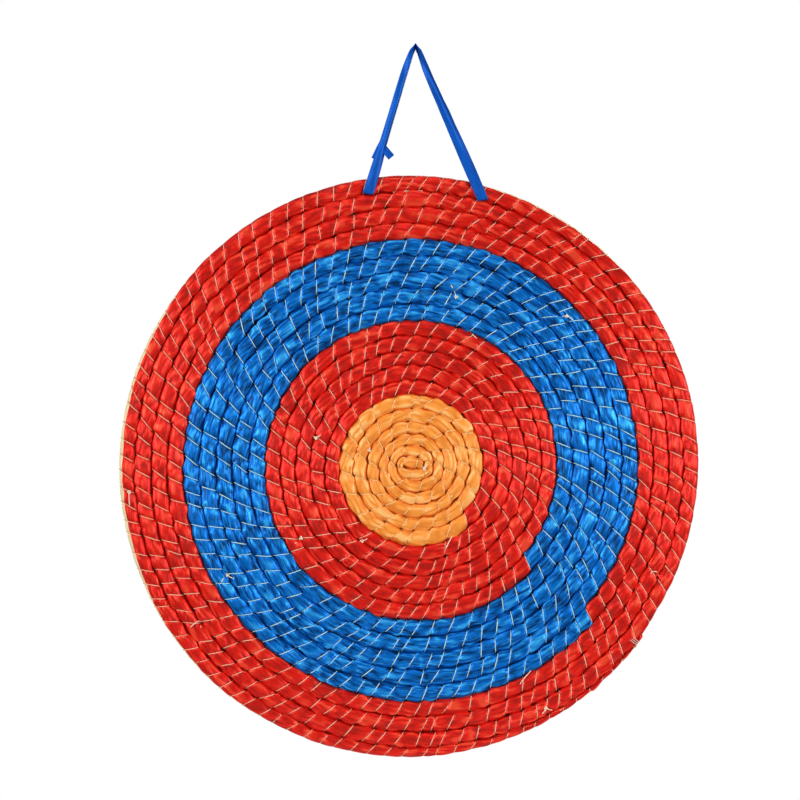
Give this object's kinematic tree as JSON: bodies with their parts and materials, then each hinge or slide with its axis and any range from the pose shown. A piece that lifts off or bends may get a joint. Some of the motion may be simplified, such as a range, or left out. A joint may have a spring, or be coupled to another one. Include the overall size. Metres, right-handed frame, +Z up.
{
  "type": "coiled straw archery target boss",
  "caption": "Round archery target boss: a coiled straw rope under gold, red and blue fabric strips, stitched turn to turn, hanging on a blue ribbon loop.",
  "frame": {"origin": "the nail under the apex of the hanging ribbon", "axes": "+Z up as the boss hangs, the face looks to -Y, +X to the right as seen from the front"},
  "size_m": [0.4991, 0.0269, 0.6164],
  "materials": {
    "straw": "natural dry straw, matt",
    "gold_fabric": "satin woven strip",
    "red_fabric": "satin woven strip",
    "blue_fabric": "satin woven strip",
    "twine": "thin cream cotton twine, matt",
    "blue_ribbon": "satin ribbon"
  },
  "bodies": {
    "strap": {"hanging_ribbon": "blue_ribbon", "ribbon_knot": "blue_ribbon", "ribbon_end": "blue_ribbon"},
    "boss": {"straw_rope": "straw", "gold_cover": "gold_fabric", "inner_red_cover": "red_fabric", "blue_cover": "blue_fabric", "outer_red_cover": "red_fabric", "end_lashing": "twine", "ribbon_back_run": "blue_ribbon"}
  },
  "joints": [
    {"name": "boss_swing", "type": "hinge", "parent": "strap", "child": "boss", "pos_m": [0, -0.0004, -0.111], "axis": [1, 0, 0], "range_deg": [-170, 90]}
  ]
}
